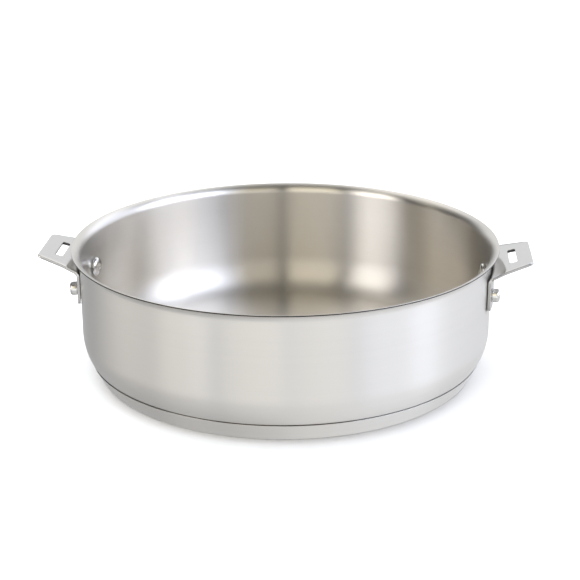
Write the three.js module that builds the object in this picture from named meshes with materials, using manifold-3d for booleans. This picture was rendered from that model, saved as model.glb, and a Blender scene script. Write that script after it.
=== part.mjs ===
// A round steel saute pan, 28 cm across, with a sandwich base and two riveted brackets
// that take clip-on handles. Millimetres and degrees, +Z up. The origin lies on the table
// under the middle of the base, and the two brackets stand on the X axis.

import * as THREE from 'three';
import { mergeVertices } from 'three/addons/utils/BufferGeometryUtils.js';
import Module from 'manifold-3d';

// Pan shell: one drawn steel sheet with a rounded floor corner and a pouring lip.
const innerDiameter = 280;
const wallSheet = 0.9;
const panHeight = 89.2;
const cornerReach = 18;
const cornerRise = 26;
const lipBend = 6.2;
const lipTurn = 80;

// Sandwich base: an aluminium core under the floor, closed in by a steel capsule.
const coreThickness = 4.1;
const coreRimRise = 1.7;
const capsuleSheet = 0.8;
const capsuleLipRise = 6.9;
const capsuleLipEdge = 0.4;
const capsuleSideKick = 8.6;
const capsuleFootBend = 1.2;

// Brackets: bent plates with a leg against the wall, a shoulder and a slotted flap.
const bracketPlate = 2;
const bracketWidth = 68;
const bracketFootDrop = 37.4;
const bracketBend = 2.5;
const shoulderTilt = 19.5;
const foldReach = 8.1;
const foldWidth = 59.4;
const flapTilt = 15.6;
const flapReach = 26.6;
const flapTipDrop = 5.1;
const flapEndWidth = 46.8;
const flapCorner = 4;
const footCorner = 3;
const slotWidth = 5.2;
const slotLength = 26.9;
const slotFromEdge = 12.9;
const slotCorner = 1.2;

// Rivets: a low round head inside the pan and a taller cylindrical head outside.
const rivetEdge = 10.5;
const rivetRise = 8.5;
const shankDiameter = 6;
const innerHeadDiameter = 13.7;
const innerHeadHeight = 3.2;
const innerHeadRim = 0.7;
const innerHeadFlat = 5;
const outerHeadDiameter = 9.4;
const outerHeadHeight = 4.6;
const outerHeadRound = 1;

// Clearance that is left wherever one piece seats on another.
const fitGap = 0.3;

// Bare metal finish of each kind of piece.
const finishes = {
  shell: { color: 0xcfccc7, roughness: 0.34 },
  core: { color: 0xb9bbbd, roughness: 0.5 },
  capsule: { color: 0xc8c6c2, roughness: 0.26 },
  bracket: { color: 0xd2d1cc, roughness: 0.28 },
  rivet: { color: 0xd6d4d0, roughness: 0.22 },
};

// Straight pieces in each round stretch.
const turnSegments = 72;
const cornerSegments = 9;
const lipSegments = 6;
const edgeSegments = 4;
const bracketSteps = 14;
const rivetSegments = 20;

// Vertices closer than this are one vertex, and cutting bodies overshoot by this much.
const weld = 1e-4;
const overshoot = 60;

// Places that follow from the sizes above.
const quarter = Math.PI / 2;
const innerRadius = innerDiameter / 2;
const wallRadius = innerRadius + wallSheet;
const floorUnder = capsuleSheet + coreThickness + 2 * fitGap;
const cornerCentre = at(wallRadius - cornerReach, floorUnder + cornerRise);
const legInner = wallRadius + fitGap;
const legOuter = legInner + bracketPlate;
const footHeight = panHeight - bracketFootDrop;
const rivetHeight = footHeight + rivetRise;
const rivetAngle = Math.asin((bracketWidth / 2 - rivetEdge) / legOuter);
const holeRadius = shankDiameter / 2 + fitGap;
const sideTurns = { left: Math.PI, right: 0 };
const rivetTurns = {
  left: { front: rivetAngle, rear: -rivetAngle },
  right: { front: -rivetAngle, rear: rivetAngle },
};

const wasm = await Module();
wasm.setup();

function at(x, y) {
  return new THREE.Vector2(x, y);
}

// A unit vector at an angle from +X, given in radians.
function heading(angle) {
  return at(Math.cos(angle), Math.sin(angle));
}

function radians(degrees) {
  return THREE.MathUtils.degToRad(degrees);
}

// A point some distance from another, along a direction.
function along(start, direction, distance) {
  return start.clone().addScaledVector(direction, distance);
}

// Points of an ellipse's stretch between two angles, both ends included.
function arc(centre, reach, rise, from, to, segments) {
  const curve = new THREE.EllipseCurve(centre.x, centre.y, reach, rise, from, to, to < from);
  return curve.getPoints(segments);
}

// An outline, listed anticlockwise, with each outward corner rounded to its own radius.
function rounded(corners, radii) {
  return corners.flatMap((corner, i) => {
    const before = corners.at(i - 1);
    const after = corners[(i + 1) % corners.length];
    const back = before.clone().sub(corner).normalize();
    const ahead = after.clone().sub(corner).normalize();
    const half = back.angleTo(ahead) / 2;
    const centre = along(corner, back.clone().add(ahead).normalize(), radii[i] / Math.sin(half));
    const middle = corner.clone().sub(centre).angle();
    const swing = quarter - half;
    return radii[i] > 0
      ? arc(centre, radii[i], radii[i], middle - swing, middle + swing, edgeSegments)
      : [corner];
  });
}

// A half section of (radius, height) points, turned round the Z axis.
function turned(points, segments) {
  const path = points.filter((point, i) => i === 0 || point.distanceTo(points[i - 1]) > weld);
  return new THREE.LatheGeometry(path, segments).rotateX(quarter);
}

function extruded(shape, depth, steps = 1) {
  return new THREE.ExtrudeGeometry(shape, { depth, steps, bevelEnabled: false });
}

function solidOf(geometry) {
  const bare = geometry.clone();
  bare.deleteAttribute('normal');
  bare.deleteAttribute('uv');
  const merged = mergeVertices(bare, weld);
  const vertProperties = merged.attributes.position.array;
  const triVerts = Uint32Array.from(merged.index.array);
  return new wasm.Manifold(new wasm.Mesh({ numProp: 3, vertProperties, triVerts }));
}

function geometryOf(solid) {
  const { vertProperties, triVerts } = solid.getMesh();
  const geometry = new THREE.BufferGeometry();
  geometry.setAttribute('position', new THREE.BufferAttribute(vertProperties, 3));
  geometry.setIndex(new THREE.BufferAttribute(triVerts, 1));
  geometry.computeVertexNormals();
  return geometry;
}

// The ellipse angle of the shell's rounded corner at a height above the floor's underside.
function cornerAngle(rise) {
  return Math.asin(rise / cornerRise - 1);
}

// The corner's ellipse, moved out from the steel by a gap, between two of its angles.
function cornerCurve(gap, from, to) {
  return arc(cornerCentre, cornerReach + gap, cornerRise + gap, from, to, cornerSegments);
}

// The cylinder that clears one rivet's shank through wall and bracket.
function rivetHole(turn) {
  const length = legOuter - innerRadius + overshoot;
  const cylinder = new THREE.CylinderGeometry(holeRadius, holeRadius, length, rivetSegments);
  return solidOf(cylinder.rotateZ(quarter).translate(wallRadius, 0, rivetHeight).rotateZ(turn));
}

function drilled(solid, turns) {
  return turns.reduce((rest, turn) => rest.subtract(rivetHole(turn)), solid);
}

// Floor, rounded corner, wall and a lip that curls out, followed from underneath to inside.
function shellGeometry() {
  const halfSheet = wallSheet / 2;
  const lipAngle = Math.PI - radians(lipTurn);
  const lipHeight = panHeight - halfSheet - lipBend * Math.sin(lipAngle);
  const lipCentre = at(innerRadius + halfSheet + lipBend, lipHeight);
  const lipEnd = along(lipCentre, heading(lipAngle), lipBend);
  const under = lipBend - halfSheet;
  const over = lipBend + halfSheet;
  const section = [
    at(0, floorUnder),
    ...cornerCurve(0, -quarter, 0),
    ...arc(lipCentre, under, under, Math.PI, lipAngle, lipSegments),
    ...arc(lipEnd, halfSheet, halfSheet, lipAngle - Math.PI, lipAngle, edgeSegments),
    ...arc(lipCentre, over, over, lipAngle, Math.PI, lipSegments),
    ...cornerCurve(-wallSheet, 0, -quarter),
    at(0, floorUnder + wallSheet),
  ];
  const allTurns = Object.keys(sideTurns).flatMap((side) =>
    Object.values(rivetTurns[side]).map((turn) => sideTurns[side] + turn),
  );
  return geometryOf(drilled(solidOf(turned(section, turnSegments)), allTurns));
}

// Where the capsule's thinned edge meets the shell, and how steeply its side leans there.
function capsuleLip() {
  const angle = cornerAngle(capsuleLipRise);
  const onShell = at(cornerReach * Math.cos(angle), cornerRise * Math.sin(angle)).add(cornerCentre);
  const tangent = at(-cornerReach * Math.sin(angle), cornerRise * Math.cos(angle));
  const outwards = heading(tangent.angle() - quarter);
  return {
    inner: along(onShell, outwards, fitGap),
    outer: along(onShell, outwards, fitGap + capsuleLipEdge),
    lean: tangent.angle() + radians(capsuleSideKick),
  };
}

// A shallow dish whose side leans out and thins towards the edge that hugs the shell.
function capsuleGeometry() {
  const { inner, outer, lean } = capsuleLip();
  const bend = capsuleFootBend + capsuleSheet;
  const foot = outer.x - outer.y / Math.tan(lean);
  const centre = at(foot - bend * Math.tan(lean / 2), bend);
  const section = [
    at(0, 0),
    ...arc(centre, bend, bend, -quarter, lean - quarter, edgeSegments),
    outer,
    inner,
    ...arc(centre, capsuleFootBend, capsuleFootBend, lean - quarter, -quarter, edgeSegments),
    at(0, capsuleSheet),
  ];
  return turned(section, turnSegments);
}

// The aluminium disc that fills the capsule and follows the start of the shell's corner.
function coreGeometry() {
  const { lean } = capsuleLip();
  const bottom = capsuleSheet + fitGap;
  const top = cornerCurve(fitGap, cornerAngle(coreRimRise), -quarter);
  const [rim] = top;
  const bottomRadius = rim.x - (rim.y - bottom) / Math.tan(lean);
  const section = [at(0, bottom), at(bottomRadius, bottom), ...top, at(0, floorUnder - fitGap)];
  return turned(section, turnSegments);
}

// The flap's top edge at the fold, in the bracket's own X and Z.
function foldPoint() {
  const drop = (flapReach - foldReach) * Math.tan(radians(flapTilt));
  return at(wallRadius + foldReach, panHeight - flapTipDrop - drop);
}

// The plate's bent section drawn out across its width, with the leg curved round the wall.
function bentPlate() {
  const flapRun = heading(radians(flapTilt));
  const flapUp = heading(radians(flapTilt) + quarter);
  const shoulderAngle = radians(shoulderTilt) + quarter;
  const shoulderUp = heading(shoulderAngle);
  const fold = foldPoint();
  const mitre = flapUp.clone().add(shoulderUp).divideScalar(1 + flapUp.dot(shoulderUp));
  const foldUnder = along(fold, mitre, -bracketPlate);
  const bendX = legOuter + bracketBend;
  const bendLine = along(foldUnder, shoulderUp, -bracketBend);
  const bend = at(bendX, bendLine.y + (bendX - bendLine.x) * Math.tan(radians(shoulderTilt)));
  const outerBend = bracketBend + bracketPlate;
  const section = new THREE.Shape([
    at(legOuter, footHeight),
    ...arc(bend, bracketBend, bracketBend, Math.PI, shoulderAngle, lipSegments),
    foldUnder,
    along(foldUnder, flapRun, overshoot),
    along(fold, flapRun, overshoot),
    fold,
    ...arc(bend, outerBend, outerBend, shoulderAngle, Math.PI, lipSegments),
    at(legInner, footHeight),
  ]);
  const plate = extruded(section, bracketWidth, bracketSteps).rotateX(quarter);
  plate.translate(0, bracketWidth / 2, 0);
  return solidOf(wrapLeg(plate, bendX));
}

// Moves the leg in towards the pan's axis as it runs sideways, so that it follows the wall.
// The bend slides down the shoulder's slope with it, which keeps the shoulder flat.
function wrapLeg(plate, bendX) {
  const place = plate.attributes.position;
  const slope = Math.tan(radians(shoulderTilt));
  for (let i = 0; i < place.count; i += 1) {
    const shift = Math.sqrt(legOuter ** 2 - place.getY(i) ** 2) - legOuter;
    const onLeg = place.getX(i) < bendX;
    const aboveFoot = place.getZ(i) > footHeight + weld;
    place.setX(i, place.getX(i) + (onLeg ? shift : 0));
    place.setZ(i, place.getZ(i) + (onLeg && aboveFoot ? shift * slope : 0));
  }
  return plate;
}

// The blank's outline square to the flap: the leg's width, a taper in two stages, and the slot.
function flapOutline() {
  const fold = foldPoint();
  const halfWidth = bracketWidth / 2;
  const halfFold = foldWidth / 2;
  const halfEnd = flapEndWidth / 2;
  const stretch = 1 / Math.cos(radians(flapTilt));
  const start = (Math.sqrt(legOuter ** 2 - halfWidth ** 2) - fold.x) * stretch;
  const end = (flapReach - foldReach) * stretch;
  const slotStart = end - slotFromEdge - slotWidth / 2;
  const slotEnd = slotStart + slotWidth;
  const halfSlot = slotLength / 2;
  const outline = [
    at(-overshoot, -halfWidth),
    at(start, -halfWidth),
    at(0, -halfFold),
    at(end, -halfEnd),
    at(end, halfEnd),
    at(0, halfFold),
    at(start, halfWidth),
    at(-overshoot, halfWidth),
  ];
  const slot = [
    at(slotStart, -halfSlot),
    at(slotEnd, -halfSlot),
    at(slotEnd, halfSlot),
    at(slotStart, halfSlot),
  ];
  const shape = new THREE.Shape(rounded(outline, [0, 0, 0, flapCorner, flapCorner, 0, 0, 0]));
  shape.holes.push(new THREE.Path(rounded(slot, slot.map(() => slotCorner))));
  const prism = extruded(shape, 2 * overshoot).translate(0, 0, -overshoot);
  return solidOf(prism.rotateY(-radians(flapTilt)).translate(fold.x, 0, fold.y));
}

// The leg's outline seen along the bracket, with rounded corners at the foot.
function legOutline() {
  const halfWidth = bracketWidth / 2;
  const top = panHeight + overshoot;
  const outline = [
    at(-halfWidth, footHeight),
    at(halfWidth, footHeight),
    at(halfWidth, top),
    at(-halfWidth, top),
  ];
  const shape = new THREE.Shape(rounded(outline, [footCorner, footCorner, 0, 0]));
  const prism = extruded(shape, wallRadius + flapReach + overshoot);
  return solidOf(prism.rotateX(quarter).rotateZ(quarter));
}

function bracketGeometry(side) {
  const blank = bentPlate().intersect(flapOutline()).intersect(legOutline());
  return geometryOf(drilled(blank, Object.values(rivetTurns[side])));
}

// One rivet along X, with X = 0 on the outside of the wall and its tall head at the far end.
function rivetGeometry() {
  const shank = shankDiameter / 2;
  const innerHead = innerHeadDiameter / 2;
  const outerHead = outerHeadDiameter / 2;
  const flat = innerHeadFlat / 2;
  const innerSeat = Math.sqrt(innerRadius ** 2 - innerHead ** 2) - fitGap - wallRadius;
  const outerSeat = legOuter + fitGap - wallRadius;
  const domeRim = at(flat, innerSeat - innerHeadRim);
  const domeReach = innerHead - flat;
  const domeRise = innerHeadHeight - innerHeadRim;
  const end = outerSeat + outerHeadHeight;
  const edge = at(outerHead - outerHeadRound, end - outerHeadRound);
  const section = [
    at(0, innerSeat - innerHeadHeight),
    ...arc(domeRim, domeReach, domeRise, -quarter, 0, edgeSegments),
    at(innerHead, innerSeat),
    at(shank, innerSeat),
    at(shank, outerSeat),
    at(outerHead, outerSeat),
    ...arc(edge, outerHeadRound, outerHeadRound, 0, quarter, edgeSegments),
    at(0, end),
  ];
  return turned(section, rivetSegments).rotateY(quarter);
}

function namedMesh(name, geometry, finish) {
  const material = new THREE.MeshStandardMaterial({ ...finish, metalness: 1 });
  const mesh = new THREE.Mesh(geometry, material);
  mesh.name = name;
  return mesh;
}

// A bracket and its two rivets, turned to one side of the pan.
function bracketGroup(side) {
  const group = new THREE.Group();
  group.rotation.z = sideTurns[side];
  group.add(namedMesh(`bracket_${side}`, bracketGeometry(side), finishes.bracket));
  for (const [place, turn] of Object.entries(rivetTurns[side])) {
    const seat = new THREE.Group();
    const rivet = namedMesh(`rivet_${side}_${place}`, rivetGeometry(), finishes.rivet);
    rivet.position.set(wallRadius, 0, rivetHeight);
    seat.rotation.z = turn;
    seat.add(rivet);
    group.add(seat);
  }
  return group;
}

const pan = new THREE.Group();
pan.name = 'saute_pan';
pan.add(namedMesh('pan_shell', shellGeometry(), finishes.shell));
pan.add(namedMesh('base_core', coreGeometry(), finishes.core));
pan.add(namedMesh('base_capsule', capsuleGeometry(), finishes.capsule));
for (const side of Object.keys(sideTurns)) {
  pan.add(bracketGroup(side));
}

export default pan;
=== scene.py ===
# %% [markdown]
# # A steel saute pan
# The pan is a drawn steel shell with a rounded floor corner and a flared lip. Under it sits a
# thick sandwich base, and a slotted plate is riveted to each side for a clip-on handle.
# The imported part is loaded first, because every new piece has to lie where its solid lies.

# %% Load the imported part
import math
import bpy
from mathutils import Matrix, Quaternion, Vector


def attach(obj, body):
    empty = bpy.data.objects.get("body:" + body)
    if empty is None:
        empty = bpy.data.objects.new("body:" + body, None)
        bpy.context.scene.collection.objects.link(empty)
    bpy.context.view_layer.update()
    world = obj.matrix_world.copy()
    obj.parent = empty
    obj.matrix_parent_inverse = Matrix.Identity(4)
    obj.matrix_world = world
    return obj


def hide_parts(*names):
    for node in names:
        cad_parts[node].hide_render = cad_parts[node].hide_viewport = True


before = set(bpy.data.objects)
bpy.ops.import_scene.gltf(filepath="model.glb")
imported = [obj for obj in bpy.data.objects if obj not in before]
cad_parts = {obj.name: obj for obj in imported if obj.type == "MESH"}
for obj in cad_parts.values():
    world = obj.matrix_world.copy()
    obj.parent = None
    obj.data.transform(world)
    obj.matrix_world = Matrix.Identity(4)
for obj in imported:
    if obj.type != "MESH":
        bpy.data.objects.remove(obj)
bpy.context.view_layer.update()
mm = 0.001


print("solids:", sorted(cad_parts))

# %% [markdown]
# ## The camera
# The pan is seen from a little to the right of its front and from twenty degrees above the table,
# through a long lens that keeps the far rim almost as wide as the near one. The camera could be
# turned by three angles, but aiming it at a point is easier to read, and one small roll is added.

# %% Aim the camera
camera_place = Vector((69.8, -972.4, 404.6)) * mm
aim_point = Vector((3.0, 0.2, 53.0)) * mm
camera_roll = math.radians(-0.35)

camera_data = bpy.data.cameras.new("photo_camera")
camera_data.sensor_width = 36.0
camera_data.lens = 92.54
camera = bpy.data.objects.new("photo_camera", camera_data)
bpy.context.scene.collection.objects.link(camera)
camera.location = camera_place
camera.rotation_mode = "QUATERNION"
aim = (aim_point - camera_place).to_track_quat("-Z", "Y")
camera.rotation_quaternion = aim @ Quaternion((0, 0, 1), camera_roll)
bpy.context.scene.camera = camera
print("camera distance in mm:", round((aim_point - camera_place).length / mm, 1))

# %% [markdown]
# ## Drawing a line and turning it
# Most of the pan is round, so most of it starts as one line. A tiny plane is merged to a single
# vertex, and that vertex is extruded from point to point. The line is then spun round an axis.
# A cylinder could be scaled ring by ring instead, but a drawn line keeps the true section.

# %% Helpers that draw and turn a line
def hands_off():
    """Leaves edit mode with nothing selected."""
    if bpy.context.object and bpy.context.object.mode != "OBJECT":
        bpy.ops.object.mode_set(mode="OBJECT")
    bpy.ops.object.select_all(action="DESELECT")


def at(x, z):
    """A point of the XZ plane, given in millimetres."""
    return Vector((x, 0, z)) * mm


def arc(centre, reach, rise, start, end, steps):
    """Points of an ellipse in the XZ plane from one angle to another, in degrees."""
    turns = [math.radians(start + (end - start) * i / steps) for i in range(steps + 1)]
    return [centre + Vector((reach * math.cos(t), 0, rise * math.sin(t))) for t in turns]


def draw_line(name, points):
    """A new object in edit mode that holds one line through the points, all selected."""
    hands_off()
    bpy.ops.mesh.primitive_plane_add(size=mm)
    piece = bpy.context.object
    piece.name = piece.data.name = name
    bpy.ops.object.mode_set(mode="EDIT")
    bpy.ops.mesh.select_mode(type="VERT")
    bpy.ops.mesh.merge(type="CENTER")
    bpy.ops.transform.translate(value=points[0])
    for before, after in zip(points, points[1:]):
        bpy.ops.mesh.extrude_region_move(TRANSFORM_OT_translate={"value": after - before})
    bpy.ops.mesh.select_all(action="SELECT")
    return piece


def turn_line(steps, centre=(0, 0, 0), axis=(0, 0, 1)):
    """Spins the selected line right round, closes the seam and the poles, faces it outwards."""
    bpy.ops.mesh.spin(steps=steps, angle=math.tau, center=centre, axis=axis)
    bpy.ops.mesh.select_all(action="SELECT")
    bpy.ops.mesh.remove_doubles(threshold=0.001 * mm)
    bpy.ops.mesh.normals_make_consistent(inside=False)
    bpy.ops.object.mode_set(mode="OBJECT")


# %% Helpers that finish a piece
def pick(piece):
    """Selects one piece alone and makes it the active one."""
    hands_off()
    piece.select_set(True)
    bpy.context.view_layer.objects.active = piece


def apply_modifier(piece, kind, **settings):
    """Adds one modifier with its settings and applies it at once."""
    modifier = piece.modifiers.new(kind.lower(), kind)
    for setting, value in settings.items():
        setattr(modifier, setting, value)
    bpy.ops.object.modifier_apply(modifier=modifier.name)


def break_edges(piece, width, sharper_than):
    """Bevels every edge that turns by more than an angle, given in degrees."""
    limit = math.radians(sharper_than)
    apply_modifier(
        piece, "BEVEL", width=width, segments=3, limit_method="ANGLE", angle_limit=limit
    )


def report(piece):
    """Prints what a piece holds and how large it is."""
    faces = sum(len(face.vertices) - 2 for face in piece.data.polygons)
    size = [round(x / mm, 2) for x in piece.dimensions]
    print(f"{piece.name}: {faces} triangles, {size} mm")


# %% [markdown]
# ## The shell
# One steel sheet is drawn into a floor, an elliptical corner, a straight wall and a lip that
# curls outwards. The line runs through the middle of the sheet. Extra points beside each bend
# hold the flat stretches flat, because smooth shading spreads a bend over the next face.
# Solidify then gives the sheet its thickness, and a small bevel breaks the cut edge of the lip.

# %% Draw and turn the shell
sheet = 0.9 * mm
floor_middle = 5.95
floor_rings = (0, 30, 60, 90, 112, 120.5)
corner_centre = at(122.9, 31.5)
corner_reach = 17.55 * mm
corner_rise = 25.55 * mm
wall_middle = 140.45
wall_rings = (33, 45, 58, 70, 80)
lip_centre = at(146.65, 82.609)
lip_radius = 6.2 * mm
lip_tail = at(0.412, 0.038)
round_steps = 192
smooth_below = math.radians(40)

shell_line = [at(r, floor_middle) for r in floor_rings]
shell_line += arc(corner_centre, corner_reach, corner_rise, start=-90, end=0, steps=28)
shell_line += [at(wall_middle, z) for z in wall_rings]
shell_line += arc(lip_centre, lip_radius, lip_radius, start=180, end=100, steps=14)
shell_line += [shell_line[-1] + lip_tail]

shell = draw_line("drawn_shell", shell_line)
turn_line(round_steps)
apply_modifier(shell, "SOLIDIFY", thickness=sheet, offset=0, use_even_offset=True)
break_edges(shell, width=0.16 * mm, sharper_than=60)
bpy.ops.object.shade_smooth_by_angle(angle=smooth_below)
report(shell)

# %% [markdown]
# A sheared edge stays duller than a rolled face, and the lip's cut edge is painted nearly black:
# partly the sheet's own darker edge, partly painted shade along the rim. A second material could
# show that, but each piece
# keeps one finish here: its cut faces carry a number, which the finish reads later.

# %% Mark the cut edge of the lip, which also carries painted shade
lip_edge_radius = 145.2 * mm


def mark_cut_and_shaded_faces(piece, how_dark):
    """Stores a number on each face: nought on a rolled face, up to one on cut edges and painted
    shade.
    """
    marks = piece.data.attributes.new("cut_edge_and_shade", "FLOAT", "FACE")
    for face, mark in zip(piece.data.polygons, marks.data):
        mark.value = how_dark(face)
    dark = sum(mark.value > 0 for mark in marks.data)
    print("dark faces of", piece.name, "are", dark, "of", len(marks.data))


def on_lip_edge(face):
    """Whether a face lies at the very rim and looks straight away from the axis."""
    outward = Vector((face.center.x, face.center.y, 0))
    return outward.length > lip_edge_radius and face.normal.dot(outward.normalized()) > 0.9


# The lip's cut edge is marked for dark colour: the edge's own dullness and painted shade along the
# rim.
mark_cut_and_shaded_faces(shell, on_lip_edge)

# %% [markdown]
# ## The base cup
# The aluminium core of the base is closed in by a pressed steel cup. Its foot is flat, its side
# leans out, and its edge is pinched against the shell, which leaves a thin dark groove all round.
# The whole section is drawn as one line, outside first and then back along the inside.

# %% Draw and turn the base cup
foot_rings = (0, 40, 80, 110, 126)
foot_centre = at(128.04, 2.0)
foot_radius = 2 * mm
inner_foot_radius = 1.2 * mm
cup_floor = 0.8
side_lean = 61.75
side_ends = [at(130.42, 2.2), at(134.66, 10.1)]
cup_lip = at(135.51, 12.1)
cup_lip_radius = 0.2 * mm

cup_line = [at(r, 0) for r in foot_rings]
cup_line += arc(foot_centre, foot_radius, foot_radius, -90, side_lean - 90, steps=8)
cup_line += side_ends
cup_line += arc(cup_lip, cup_lip_radius, cup_lip_radius, -36.85, 143.15, steps=6)
cup_line += arc(foot_centre, inner_foot_radius, inner_foot_radius, side_lean - 90, -90, steps=6)
cup_line += [at(110, cup_floor), at(0, cup_floor)]

cup = draw_line("base_cup", cup_line)
turn_line(round_steps)
bpy.ops.object.shade_smooth_by_angle(angle=smooth_below)
report(cup)

# %% [markdown]
# ## The clip plates
# Each plate is a strip of two millimetre steel. Its leg lies against the wall, a tight bend leads
# into a short shoulder, and the flap beyond it carries the slot for the handle's latch.
# One row of vertices across the foot is extruded row by row along the bent section, and each new
# row is scaled to the plate's width there. The sizes in the next cell are in millimetres.

# %% Sizes along the plate
leg_middle = 142.2
leg_outside = 143.2
foot_height = 51.8
leg_rows = (foot_height, 56.5, 64, 71.5)
bend_centre = (145.7, 72.99)
bend_radius = 3.5
bend_steps = 8
shoulder_slope = 19.5
shoulder_end = (148.55, 77.715)
fold = (149.30, 77.98)
flap_slope = 15.6
flap_rows = (0.8, 13, 19.17)
leg_half_width = 34.0
fold_half_width = 29.7
tip_half_width = 23.4
tip_x = 167.77


def wall_shift(y):
    """How far the round wall has moved in towards the axis at a distance from the middle."""
    return math.sqrt(leg_outside**2 - y**2) - leg_outside


def half_width(x):
    """Half the plate's width: full on the leg, then narrowing in two straight stages."""
    leg_edge = leg_outside + wall_shift(leg_half_width)
    if x <= leg_edge:
        return leg_half_width
    if x <= fold[0]:
        narrowing = fold_half_width - leg_half_width
        return leg_half_width + narrowing * (x - leg_edge) / (fold[0] - leg_edge)
    narrowing = tip_half_width - fold_half_width
    return fold_half_width + narrowing * (x - fold[0]) / (tip_x - fold[0])


def along_flap(distance):
    """A point of the flap's middle at a distance from the fold."""
    slope = math.radians(flap_slope)
    return fold[0] + distance * math.cos(slope), fold[1] + distance * math.sin(slope)


def along_bend(step):
    """A point of the bend's middle, from the leg at step nought to the shoulder at the last."""
    turn = math.radians(180 + (90 + shoulder_slope - 180) * step / bend_steps)
    x, z = bend_centre
    return x + bend_radius * math.cos(turn), z + bend_radius * math.sin(turn)


plate_rows = [(leg_middle, z) for z in leg_rows]
plate_rows += [along_bend(step) for step in range(bend_steps + 1)]
plate_rows += [shoulder_end] + [along_flap(distance) for distance in flap_rows]
print("rows along the plate:", len(plate_rows))

# %% Extrude the plate row by row
def row_width(x):
    """The width where a row ends. Rows on the leg and the bend sit further in at their ends."""
    width = leg_half_width
    for _ in range(6):
        width = half_width(x + wall_shift(width) if x < bend_centre[0] else x)
    return width


columns = 12
first_x, first_z = plate_rows[0]
spread = [leg_half_width * (2 * i / columns - 1) for i in range(columns + 1)]
plate = draw_line("clip_plate_right", [Vector((first_x, y, first_z)) * mm for y in spread])
for (x0, z0), (x1, z1) in zip(plate_rows, plate_rows[1:]):
    bpy.ops.mesh.extrude_region_move(TRANSFORM_OT_translate={"value": at(x1 - x0, z1 - z0)})
    squeeze = row_width(x1) / row_width(x0)
    bpy.ops.transform.resize(value=(1, squeeze, 1), center_override=(0, 0, 0))
print("vertices of the strip:", (columns + 1) * len(plate_rows))

# %% [markdown]
# The corners of the flap and of the foot are rounded while the strip is still a thin sheet, by
# bevelling single vertices. Then each vertex of the leg and the bend moves in with the wall, and
# the bend slides down the shoulder's slope, so that the shoulder stays flat.

# %% Round the corners and lay the leg against the wall
level_foot = 4
close = 0.01


def bevel_corners(piece, row, offset):
    """Rounds the two end corners of a row. The offset is given in millimetres."""
    bpy.ops.mesh.select_all(action="DESELECT")
    bpy.ops.object.mode_set(mode="OBJECT")
    x, z = row
    for vertex in piece.data.vertices:
        on_row = abs(vertex.co.x / mm - x) < close and abs(vertex.co.z / mm - z) < close
        vertex.select = on_row and abs(vertex.co.y / mm) > row_width(x) - close
    bpy.ops.object.mode_set(mode="EDIT")
    bpy.ops.mesh.bevel(affect="VERTICES", offset=offset * mm, segments=6)
    print("corners cut back by", offset, "mm at height", round(z, 2), "mm")


bevel_corners(plate, plate_rows[-1], offset=2.9)
bevel_corners(plate, plate_rows[0], offset=3)
hands_off()
shoulder_drop = math.tan(math.radians(shoulder_slope))
for vertex in plate.data.vertices:
    x, y, z = vertex.co / mm
    if x < bend_centre[0]:
        shift = wall_shift(y)
        vertex.co.x += shift * mm
        vertex.co.z += shift * shoulder_drop * mm if z > foot_height + level_foot else 0
report(plate)

# %% [markdown]
# Solidify gives the strip its two millimetres. The slot is cut by a box with rounded upright
# edges, turned to stand square on the flap. A narrow bevel then breaks every stamped edge, since
# a perfectly sharp edge would catch no light.

# %% Give the plate its thickness
plate_thickness = 2 * mm

pick(plate)
bpy.ops.object.mode_set(mode="EDIT")
bpy.ops.mesh.select_all(action="SELECT")
bpy.ops.mesh.normals_make_consistent(inside=False)
bpy.ops.object.mode_set(mode="OBJECT")
apply_modifier(plate, "SOLIDIFY", thickness=plate_thickness, offset=0, use_even_offset=True)
report(plate)

# %% Cut the slot
slot_size = (5.2 * mm, 26.9 * mm, 12 * mm)
slot_corner = 1.2 * mm
slot_x, slot_z = along_flap(6.31)

hands_off()
bpy.ops.mesh.primitive_cube_add(
    size=1,
    location=at(slot_x, slot_z),
    rotation=(0, -math.radians(flap_slope), 0),
    scale=slot_size,
)
slot_cutter = bpy.context.object
slot_cutter.name = "slot_cutter"
bpy.ops.object.transform_apply(location=False, rotation=False, scale=True)
bpy.ops.object.mode_set(mode="EDIT")
bpy.ops.mesh.select_all(action="DESELECT")
bpy.ops.object.mode_set(mode="OBJECT")
for edge in slot_cutter.data.edges:
    start, end = (slot_cutter.data.vertices[i].co for i in edge.vertices)
    edge.select = abs(start.z - end.z) > slot_size[2] / 2
bpy.ops.object.mode_set(mode="EDIT")
bpy.ops.mesh.select_mode(type="EDGE")
bpy.ops.mesh.bevel(affect="EDGES", offset=slot_corner, segments=5)

pick(plate)
apply_modifier(plate, "BOOLEAN", operation="DIFFERENCE", object=slot_cutter, solver="EXACT")
bpy.data.objects.remove(slot_cutter)
break_edges(plate, width=0.28 * mm, sharper_than=50)
bpy.ops.object.shade_smooth_by_angle(angle=math.radians(35))
report(plate)

# %% [markdown]
# The outline of the plate is sheared and tumbled, so it is a little duller than its faces, and it
# is painted a little darker for the shade along its edges. The slot's wall is painted dark as
# shade, and so is the face turned to the wall, for the shade in the gap behind the plate.

# %% Mark the cut edges and the painted shade of the plate
flap_up = Vector((-math.sin(math.radians(flap_slope)), 0, math.cos(math.radians(flap_slope))))
slot_reach = 3.2
slot_half_length = 14
leg_reach = 147
flap_start = 146.5
slot_painted_shade = 1.0
back_painted_shade = 0.9
outline_dull_and_shade = 0.3


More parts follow.
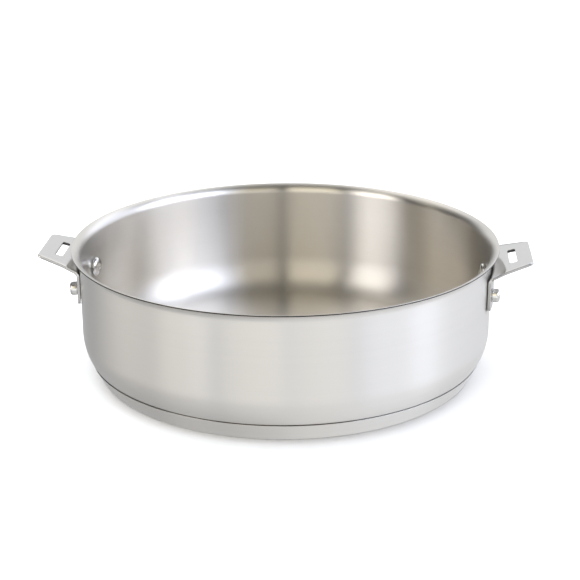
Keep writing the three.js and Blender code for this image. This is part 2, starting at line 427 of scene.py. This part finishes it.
def plate_darkness(face):
    """How dark a face of the plate is painted, from nought to one, painted shade included."""
    x, y, z = face.center / mm
    edgewise = abs(face.normal.dot(flap_up)) < 0.5
    by_slot = math.hypot(x - slot_x, z - slot_z) < slot_reach and abs(y) < slot_half_length
    # The slot's wall gets painted shade.
    if by_slot and edgewise:
        return slot_painted_shade
    # The face turned to the wall gets painted shade, for the gap behind the plate.
    towards_wall = -face.normal.x - 0.4
    if towards_wall > 0 and x < leg_reach:
        return min(back_painted_shade, towards_wall * 3)
    # The outline is a little darker: duller cut steel and painted shade along the edges.
    on_side = abs(face.normal.y) > 0.6
    on_end = x > flap_start and edgewise
    on_foot = z < foot_height + 0.6 and face.normal.z < -0.5
    return outline_dull_and_shade if on_side or on_end or on_foot else 0.0


mark_cut_and_shaded_faces(plate, plate_darkness)

# %% [markdown]
# ## The rivets
# A rivet has a round head with a small dimple inside the pan, a shank through wall and plate, and
# a taller head outside. It lies along X while it is drawn, so its line is spun round a level axis.
# The finished rivet is copied, and each copy is turned round the pan's axis to its own place.

# %% Draw and turn one rivet
rivet_height = 60.3
shank_radius = 3
edge_break = 0.15
inner_seat = 139.53
inner_radius = 6.85
dimple = [(0, 137.03), (0.9, 136.98), (1.5, 136.8), (1.9, 136.55), (2.2, 136.38), (2.5, 136.33)]
crown_centre = (2.5, 138.83)
crown_reach = 4.35
crown_rise = 2.5
outer_seat = 143.5
outer_radius = 4.7
outer_side_end = 146.1
outer_round = 2.0
outer_top = 148.1


def on_rivet(radius, x):
    """A point of the rivet's half section: distance from its own axis, and place along it."""
    return Vector((x, 0, rivet_height + radius)) * mm


def on_crown(degrees):
    """A point of the inner head's rounded rim, from its flat top towards its side."""
    t = math.radians(degrees)
    return crown_centre[0] + crown_reach * math.sin(t), crown_centre[1] - crown_rise * math.cos(t)


def on_outer_edge(degrees):
    """A point of the outer head's rounded edge, from its side towards its flat top."""
    t = math.radians(degrees)
    ring = outer_radius - outer_round
    return ring + outer_round * math.cos(t), outer_side_end + outer_round * math.sin(t)


inner_head = dimple + [on_crown(degrees) for degrees in range(10, 100, 10)]
inner_head += [(inner_radius, inner_seat - edge_break), (inner_radius - edge_break, inner_seat)]
inner_head += [(shank_radius, inner_seat)]
outer_head = [(shank_radius, outer_seat), (outer_radius - edge_break, outer_seat)]
outer_head += [(outer_radius, outer_seat + edge_break), (outer_radius, outer_side_end)]
outer_head += [on_outer_edge(degrees) for degrees in range(15, 105, 15)]
outer_head += [(1.6, outer_top), (0, outer_top)]

rivet = draw_line("rivet_pattern", [on_rivet(r, x) for r, x in inner_head + outer_head])
turn_line(steps=48, centre=(0, 0, rivet_height * mm), axis=(1, 0, 0))
bpy.ops.object.shade_smooth_by_angle(angle=smooth_below)
report(rivet)

# %% Copy the rivet and the plate to their places
def copy_turned(piece, name, turn):
    """A copy with its own mesh, turned about the pan's axis, with the turn put into the mesh."""
    copy = piece.copy()
    copy.data = piece.data.copy()
    copy.name = copy.data.name = name
    bpy.context.scene.collection.objects.link(copy)
    pick(copy)
    copy.rotation_euler = (0, 0, turn)
    bpy.ops.object.transform_apply(location=True, rotation=True, scale=True)
    return copy


rivet_offset = 23.5
rivet_turn = math.asin(rivet_offset / leg_outside)
half_turn = math.pi
plates = {"bracket_right": plate}
plates["bracket_left"] = copy_turned(plate, "clip_plate_left", half_turn)
rivet_turns = {
    "rivet_right_front": -rivet_turn,
    "rivet_right_rear": rivet_turn,
    "rivet_left_front": half_turn + rivet_turn,
    "rivet_left_rear": half_turn - rivet_turn,
}
rivets = {node: copy_turned(rivet, "set_" + node, turn) for node, turn in rivet_turns.items()}
bpy.data.objects.remove(rivet)
print("plates:", sorted(plates), "rivets:", sorted(rivets))

# %% [markdown]
# ## Shader sums
# A finish is easier to read as a sum than as a list of links. A small class wraps a node's output
# and turns +, -, * and / into Math nodes. Every other node comes from one method, which sets the
# node's options first and then its sockets. The studio's light is built with the same method.

# %% A wire that can be used in sums
class Wire:
    """A node's output that can be used in sums."""

    def __init__(self, bench, socket):
        self.bench = bench
        self.socket = socket

    def __add__(self, other):
        return self.bench.number("ADD", self, other)

    def __radd__(self, other):
        return self.bench.number("ADD", other, self)

    def __sub__(self, other):
        return self.bench.number("SUBTRACT", self, other)

    def __rsub__(self, other):
        return self.bench.number("SUBTRACT", other, self)

    def __mul__(self, other):
        return self.bench.number("MULTIPLY", self, other)

    def __rmul__(self, other):
        return self.bench.number("MULTIPLY", other, self)

    def __truediv__(self, other):
        return self.bench.number("DIVIDE", self, other)

    def __rtruediv__(self, other):
        return self.bench.number("DIVIDE", other, self)


# %% The bench that the nodes are added to
class Bench:
    """A node tree whose nodes are added one call at a time."""

    def __init__(self, tree):
        self.tree = tree

    def feed(self, socket, value):
        if isinstance(value, Wire):
            self.tree.links.new(value.socket, socket)
        else:
            socket.default_value = value

    def add(self, kind, settings=None, sockets=None, out=0):
        """Adds any node: its settings first, then its sockets."""
        node = self.tree.nodes.new(kind)
        for setting, value in (settings or {}).items():
            setattr(node, setting, value)
        for socket, value in (sockets or {}).items():
            self.feed(node.inputs[socket], value)
        return Wire(self, node.outputs[out])

    def number(self, operation, first, second=0.0):
        return self.add("ShaderNodeMath", {"operation": operation}, {0: first, 1: second})

    def vector(self, operation, first, second=(0, 0, 0), out="Vector"):
        sockets = {0: first, 1: second}
        return self.add("ShaderNodeVectorMath", {"operation": operation}, sockets, out)

    def scaled(self, colour, amount):
        """A colour times a number."""
        sockets = {0: colour, "Scale": amount}
        return self.add("ShaderNodeVectorMath", {"operation": "SCALE"}, sockets)

    def between(self, share, first, second):
        """A colour between two others, by a share from nought to one."""
        ends = [end if isinstance(end, Wire) else (*end, 1) for end in (first, second)]
        sockets = {"Factor": share, 6: ends[0], 7: ends[1]}
        return self.add("ShaderNodeMix", {"data_type": "RGBA"}, sockets, out=2)

    def smooth_step(self, value, nought, one):
        """A smooth step from nought to one as a value goes between two others."""
        sockets = {"Value": value, "From Min": nought, "From Max": one}
        return self.add("ShaderNodeMapRange", {"interpolation_type": "SMOOTHSTEP"}, sockets)


class Finish(Bench):
    """A material with one Principled shader."""

    def __init__(self, name):
        self.material = bpy.data.materials.new(name)
        self.material.use_nodes = True
        super().__init__(self.material.node_tree)
        self.shader = self.tree.nodes["Principled BSDF"]

    def surface(self, **sockets):
        for socket, value in sockets.items():
            self.feed(self.shader.inputs[socket.replace("_", " ")], value)
        return self.material


# %% [markdown]
# ## Steel brushed round the axis
# The shell is brushed while it spins, so its fine lines run round the axis. Lines that run one way
# smear every reflection across them, and full anisotropy gives that. The lines themselves come
# from noise that changes quickly across the lines and slowly along them. Distance from the axis
# plus height grows all the way from the middle of the floor to the lip, so one sum serves both.

# %% Where a point lies on a round piece
noise_radius = 140 * mm


def place_parts(finish):
    """A point's distance from the axis, its direction away from the axis, and its height."""
    place = finish.add("ShaderNodeTexCoord", out="Object")
    flat = finish.vector("MULTIPLY", place, (1, 1, 0))
    radius = finish.vector("LENGTH", flat, out="Value")
    heading = finish.vector("NORMALIZE", flat)
    height = finish.add("ShaderNodeSeparateXYZ", sockets={0: place}, out="Z")
    return radius, heading, height


def ring_lines(finish, reach, heading, spacing, length, seed):
    """Noise in rings: spacing across the lines and length along them, in metres."""
    across = finish.add("ShaderNodeCombineXYZ", sockets={"Z": reach / spacing + seed})
    along = finish.vector("MULTIPLY", heading, [noise_radius / length] * 3)
    where = finish.vector("ADD", along, across)
    return finish.add("ShaderNodeTexNoise", sockets={"Vector": where, "Scale": 1.0, "Detail": 2.0})


def inside_share(finish, heading):
    """One on faces that look up or towards the axis, and nought on the outside."""
    looks = finish.add("ShaderNodeNewGeometry", out="Normal")
    outward = finish.vector("DOT_PRODUCT", looks, heading, out="Value")
    upward = finish.add("ShaderNodeSeparateXYZ", sockets={0: looks}, out="Z")
    return finish.number("GREATER_THAN", upward - outward)


def height_share(finish, height, low, high, fade):
    """One between two heights, fading to nought a little way beyond them."""
    away = finish.number("ABSOLUTE", height - (low + high) / 2)
    return finish.smooth_step(away, (high - low) / 2 + fade, (high - low) / 2)


# %% [markdown]
# The inside is painted a touch warmer than the outside, standing in for the warm lamplight it
# reflects, and its rounded corner is a little duller, because the brush hardly reaches it. A thin
# line of painted shade runs where the base is pinched on, standing in for the shade in the narrow
# groove. It is painted by height, and the cut edges and painted shade that were marked earlier get
# the same dark colour.

# %% Brushed steel
# The band of painted shade along the groove under the base lies between these heights.
groove_shade_heights = (12.3 * mm, 12.7 * mm)
groove_shade_fade = 0.25 * mm
inner_corner = (9 * mm, 20 * mm)
corner_fade = 12 * mm
corner_dull = 0.06
tone_swing = 0.06
gloss_swing = 0.04
bare_steel = (0.70, 0.68, 0.65)
# The inside's colour is painted a touch warmer, standing in for the warm lamplight it reflects.
lamplit_inside_steel = (0.70, 0.676, 0.636)
bare_aluminium = (0.78, 0.78, 0.79)
shade_and_cut_dark = (0.05, 0.048, 0.045)


def brushed_steel(name, colour, inner_colour, outside, inside, anisotropy, groove):
    """Ring-brushed metal, with one roughness outside and one inside, and a groove depth."""
    finish = Finish(name)
    radius, heading, height = place_parts(finish)
    fine = ring_lines(finish, radius + height, heading, 0.5 * mm, 400 * mm, seed=0)
    broad = ring_lines(finish, radius + height, heading, 4 * mm, 900 * mm, seed=17)
    lines = fine * 0.5 + broad * 0.5
    within = inside_share(finish, heading)
    tone = lines * tone_swing + (1 - tone_swing / 2)
    steel = finish.scaled(finish.between(within, colour, inner_colour), tone)
    # A band of painted shade on the outside, along the groove where the base is pinched on.
    seam = height_share(finish, height, *groove_shade_heights, groove_shade_fade) * (1 - within)
    cut = finish.add("ShaderNodeAttribute", {"attribute_name": "cut_edge_and_shade"}, out="Fac")
    dull = height_share(finish, height, *inner_corner, corner_fade) * within * corner_dull
    gloss = lines * gloss_swing + (outside - gloss_swing / 2) + within * (inside - outside)
    return finish.surface(
        # The colour goes dark on the groove's painted shade, and on the marked cut edges and
        # painted shade.
        Base_Color=finish.between(finish.number("MAXIMUM", seam, cut), steel, shade_and_cut_dark),
        Metallic=1.0,
        Roughness=gloss + dull,
        Anisotropic=anisotropy,
        Anisotropic_Rotation=0.25,
        Normal=finish.add("ShaderNodeBump", sockets={"Height": fine, "Distance": groove}),
    )


shell_steel = brushed_steel(
    "brushed_shell_steel", bare_steel, lamplit_inside_steel, 0.29, 0.285, 1.0, groove=0.002 * mm
)
cup_steel = brushed_steel(
    "turned_base_steel", bare_steel, bare_steel, 0.3, 0.3, 1.0, groove=0.006 * mm
)
core_metal = brushed_steel(
    "matt_core_aluminium", bare_aluminium, bare_aluminium, 0.45, 0.45, 0.3, groove=0.02 * mm
)
print("ring-brushed finishes:", shell_steel.name, cup_steel.name, core_metal.name)

# %% [markdown]
# ## Satin plates and polished rivets
# The plates are stamped from rolled sheet and tumbled, so they have a faint straight grain and a
# soft, even gloss. The rivets are tumbled until they shine, and keep only a slight unevenness.

# %% Rolled and polished steel
tumbled_tone = 0.02
tumbled_swing = 0.06
cut_dull = 0.15
plate_shade_and_cut_dark = (0.06, 0.058, 0.055)
plate_colour = (0.63, 0.62, 0.605)
plate_grain = (0.8 * mm, 9 * mm, 0.8 * mm)
rivet_colour = (0.64, 0.63, 0.61)
rivet_grain = (1 * mm, 1 * mm, 1 * mm)
tumbled_dent = 0.002 * mm


def tumbled_steel(name, colour, roughness, grain):
    """Satin steel with a faint pattern: grain is the pattern's size along X, Y and Z."""
    finish = Finish(name)
    place = finish.add("ShaderNodeTexCoord", out="Object")
    where = finish.vector("DIVIDE", place, grain)
    marks = finish.add("ShaderNodeTexNoise", sockets={"Vector": where, "Scale": 1.0, "Detail": 3.0})
    darker = [c * (1 - tumbled_tone) for c in colour]
    lighter = [c * (1 + tumbled_tone) for c in colour]
    cut = finish.add("ShaderNodeAttribute", {"attribute_name": "cut_edge_and_shade"}, out="Fac")
    return finish.surface(
        # Marked faces turn dark: cut edges, and painted shade in the slot, on the back face and
        # along the outline.
        Base_Color=finish.between(cut, finish.between(marks, darker, lighter), plate_shade_and_cut_dark),
        Metallic=1.0,
        Roughness=marks * tumbled_swing + (roughness - tumbled_swing / 2) + cut * cut_dull,
        Normal=finish.add("ShaderNodeBump", sockets={"Height": marks, "Distance": tumbled_dent}),
    )


plate_steel = tumbled_steel("satin_plate_steel", plate_colour, 0.13, plate_grain)
rivet_steel = tumbled_steel("polished_rivet_steel", rivet_colour, 0.19, rivet_grain)
print("tumbled finishes:", plate_steel.name, rivet_steel.name)

# %% [markdown]
# ## Setting the pieces on the part
# Each piece takes its finish, rides on the part's one body and stands for its solid. The core of
# the base is closed in on all sides, so its solid stays and only gets a finish.

# %% Dress the pieces
def dress(piece, node, material):
    """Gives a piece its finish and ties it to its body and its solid."""
    piece.data.materials.clear()
    piece.data.materials.append(material)
    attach(piece, "root")
    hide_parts(node)


dress(shell, "pan_shell", shell_steel)
dress(cup, "base_capsule", cup_steel)
for node, piece in plates.items():
    dress(piece, node, plate_steel)
for node, piece in rivets.items():
    dress(piece, node, rivet_steel)
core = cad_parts["base_core"]
core.data.materials.clear()
core.data.materials.append(core_metal)
print("dressed:", 2 + len(plates) + len(rivets), "pieces and the core")

# %% [markdown]
# ## The white table
# The table is a wide white sheet under one very wide lamp, so it is evenly white and only a
# narrow soft shadow stays under the base. The lamp leans from the back left, which lets
# the shadow fall to the front right. Steel has no colour of its own and shows what stands round
# it, so the table and its lamp are kept out of its reflections, and the studio below is painted
# for it alone.

# %% Table and overhead lamp
table_width = 60
table_drop = 0.02 * mm
lamp_spread = 88
lamp_lean = (-10, -5, 0)

hands_off()
bpy.ops.mesh.primitive_plane_add(size=table_width, location=(0, 0, -table_drop))
table = bpy.context.object
table.name = "white_table"
table_finish = Finish("white_table")
table.data.materials.append(table_finish.surface(Base_Color=(0.9, 0.9, 0.9, 1), Roughness=0.9))
table.visible_glossy = False
table.visible_shadow = False

lamp_data = bpy.data.lights.new("overhead_lamp", "SUN")
lamp_data.angle = math.radians(lamp_spread)
lamp_data.energy = 6.5
lamp_data.color = (0.98, 1.0, 1.03)
lamp = bpy.data.objects.new("overhead_lamp", lamp_data)
lamp.rotation_euler = [math.radians(turn) for turn in lamp_lean]
lamp.visible_glossy = False
bpy.context.scene.collection.objects.link(lamp)
print("table", table.dimensions.x, "m wide, lamp", lamp_spread, "degrees wide")

# %% [markdown]
# ## The studio that the steel mirrors
# The steel is lit by soft boxes all round it: a big bright one on the right, a smaller one at the
# front left, two warm screens with a dark gap between them where the camera looks through, low
# screens near the table, and dimmer light from behind and above. The flag is the black board that
# photographers set up to take light away, so its brightness is below nought.
# Area lamps could do this, but in the world a box is just a smooth patch of directions, and its
# edges can be as soft as they need to be. Headings go anticlockwise from the right-hand plate,
# heights go up from the horizon, and all angles are in degrees.

# %% The boxes and their colours
daylight = (0.93, 0.99, 1.15)
lamplight = (1.11, 1.015, 0.81)
table_white = (0.985, 1.0, 1.02)
warm_white = (1.04, 1.0, 0.94)
soft_boxes = {
    # (heading, half width, half edge), (height, half height, half edge), brightness, colour
    "right_box": ((338.2, 26.5, 14.8), (30.5, 17.5, 5.0), 4.6, daylight),
    "left_front_box": ((217.0, 14.2, 7.5), (26.0, 17.5, 8.0), 3.15, warm_white),
    "front_left_screen": ((255.7, 16.4, 1.5), (30.5, 20.0, 5.0), 1.42, lamplight),
    "front_right_screen": ((293.0, 14.1, 3.3), (30.0, 19.0, 5.5), 0.9, lamplight),
    "front_low_screen": ((265.8, 39.9, 11.5), (0.5, 14.4, 7.0), 0.9, table_white),
    "front_gap_screen": ((275.3, 4.5, 4.0), (-14.0, 9.0, 5.0), 0.13, table_white),
    "left_strip": ((178.0, 4.5, 3.5), (24.0, 16.0, 8.0), 0.4, lamplight),
    "left_low_screen": ((186.0, 27.0, 21.0), (-5.2, 5.4, 3.3), 2.25, warm_white),
    "right_back_screen": ((23.1, 36.2, 11.8), (17.0, 24.0, 8.0), 1.45, daylight),
    "back_screen": ((91.0, 38.4, 14.5), (36.0, 34.0, 8.0), 0.96, table_white),
    "back_flag": ((102.0, 13.0, 7.0), (2.0, 8.5, 4.5), -0.38, table_white),
    "back_high_screen": ((94.0, 38.0, 15.0), (48.0, 14.0, 10.0), 0.5, warm_white),
    "ceiling": ((0.0, 200.0, 1.0), (90.0, 16.0, 12.0), 0.14, warm_white),
    "left_back_screen": ((144.0, 27.0, 15.0), (52.0, 14.0, 10.0), 0.85, warm_white),
}
print("soft boxes and flags:", len(soft_boxes))

# %% [markdown]
# Below the horizon lies the glow of the table, brightest towards the big box, and above it a very
# dim sky fills the gaps. The boxes are added to that one by one. What looks straight past the pan
# sees plain white instead, so the backdrop is white from every side.

# %% Paint the world
table_glow = {"mean": 0.77, "swing": 0.23, "heading": 336.0}
sky_fill = 0.04
horizon_blur = 4

world = bpy.data.worlds.new("studio")
bpy.context.scene.world = world
world.use_nodes = True
world.cycles_visibility.diffuse = False
studio = Bench(world.node_tree)
direction = studio.add("ShaderNodeTexCoord", out="Generated")
level = studio.vector("NORMALIZE", studio.vector("MULTIPLY", direction, (1, 1, 0)))
climb = studio.add("ShaderNodeSeparateXYZ", sockets={0: direction}, out="Z")
elevation = studio.number("ARCSINE", climb) * math.degrees(1)


def facing(heading):
    """The cosine of the turn between a direction and a heading."""
    turn = math.radians(heading)
    return studio.vector("DOT_PRODUCT", level, (math.cos(turn), math.sin(turn), 0), out="Value")


def soft_box(sideways, upright, brightness, colour):
    """One smooth patch of light, or of shade where the brightness is below nought."""
    heading, half_span, side_edge = sideways
    height, half_rise, top_edge = upright
    turn = studio.number("ARCCOSINE", facing(heading)) * math.degrees(1)
    rise = studio.number("ABSOLUTE", elevation - height)
    side_share = studio.smooth_step(turn, half_span + side_edge, half_span - side_edge)
    rise_share = studio.smooth_step(rise, half_rise + top_edge, half_rise - top_edge)
    return studio.scaled(colour, side_share * rise_share * brightness)


glow = facing(table_glow["heading"]) * table_glow["swing"] + table_glow["mean"]
below = studio.smooth_step(elevation, horizon_blur, -horizon_blur)
above = studio.smooth_step(elevation, -horizon_blur, horizon_blur)
light = studio.scaled(table_white, glow * below + above * sky_fill)
for box in soft_boxes.values():
    light = studio.vector("ADD", light, soft_box(*box))
camera_ray = studio.add("ShaderNodeLightPath", out="Is Camera Ray")
seen = studio.between(camera_ray, light, (1, 1, 1))
studio.feed(world.node_tree.nodes["Background"].inputs["Color"], seen)
bpy.context.scene.view_settings.view_transform = "Standard"
print("nodes in the world:", len(world.node_tree.nodes))
